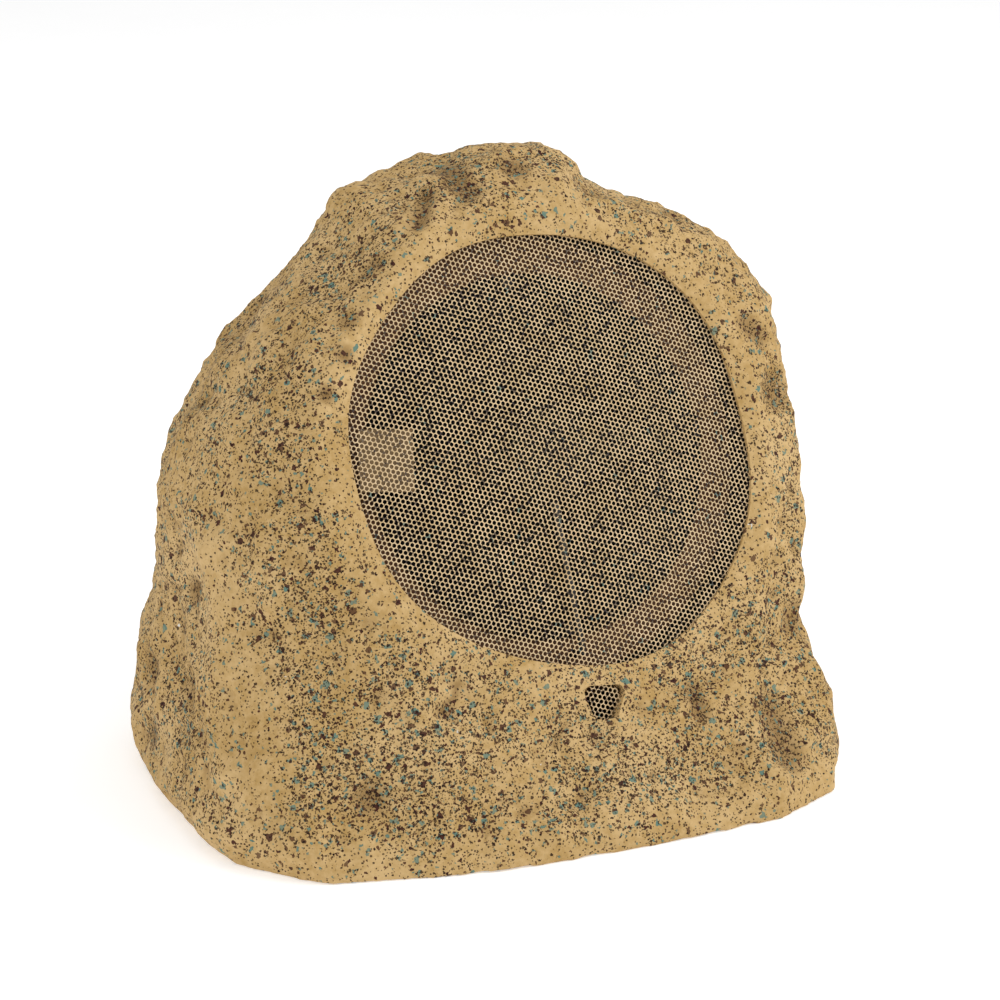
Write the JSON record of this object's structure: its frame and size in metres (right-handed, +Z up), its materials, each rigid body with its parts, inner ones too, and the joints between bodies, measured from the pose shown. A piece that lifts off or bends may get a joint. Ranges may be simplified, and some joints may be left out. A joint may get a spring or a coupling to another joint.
{
  "type": "rock shaped garden speaker",
  "caption": "Weatherproof garden loudspeaker moulded as a sandstone boulder, with a round perforated grille in its leaning front, a screened vent under it and a closed base.",
  "frame": {"origin": "on the ground plane, under the middle of the boulder's base", "axes": "+X to the right seen from the front, -Y to the front where the grille is, +Z up"},
  "size_m": [0.334, 0.274, 0.295],
  "materials": {
    "moulded_stone": "rough sandstone finish with dark and grey-green chips",
    "sheet_paint": "matt tan powder coat with specks",
    "badge_blank": "matt",
    "foam": "closed-cell foam",
    "board_wood": "sealed fibreboard",
    "screw_steel": "zinc plated",
    "basket_steel": "satin black",
    "surround_rubber": "matt",
    "cone_plastic": "matt",
    "coil_copper": "enamelled wire",
    "spider_cloth": "resin-set cloth",
    "motor_steel": "plated",
    "ferrite": "bare ferrite",
    "tweeter_plastic": "satin",
    "dome_cloth": "coated cloth",
    "circuit_board": "solder mask",
    "capacitor_case": "moulded case",
    "resistor_case": "bare",
    "terminal_plastic": "matt",
    "lead_sleeve": "matt",
    "base_plastic": "textured",
    "gland_plastic": "matt"
  },
  "bodies": {
    "root": {"rock_shell": "moulded_stone", "grille": "sheet_paint", "badge_plate": "badge_blank", "grille_gasket": "foam", "base_gasket": "foam", "baffle": "board_wood", "baffle_screws": "screw_steel", "woofer_screws": "screw_steel", "base_screws": "screw_steel", "woofer_basket": "basket_steel", "tweeter_bridge": "basket_steel", "surround": "surround_rubber", "cone": "cone_plastic", "dust_cap": "cone_plastic", "voice_coil": "coil_copper", "inductor": "coil_copper", "spider": "spider_cloth", "top_plate": "motor_steel", "pole_yoke": "motor_steel", "magnet": "ferrite", "tweeter_body": "tweeter_plastic", "tweeter_dome": "dome_cloth", "crossover_board": "circuit_board", "capacitors": "capacitor_case", "resistor": "resistor_case", "terminal_block": "terminal_plastic", "woofer_lead": "lead_sleeve", "tweeter_lead": "lead_sleeve", "base_plate": "base_plastic", "cable_gland": "gland_plastic", "gland_nut": "gland_plastic"}
  },
  "joints": []
}
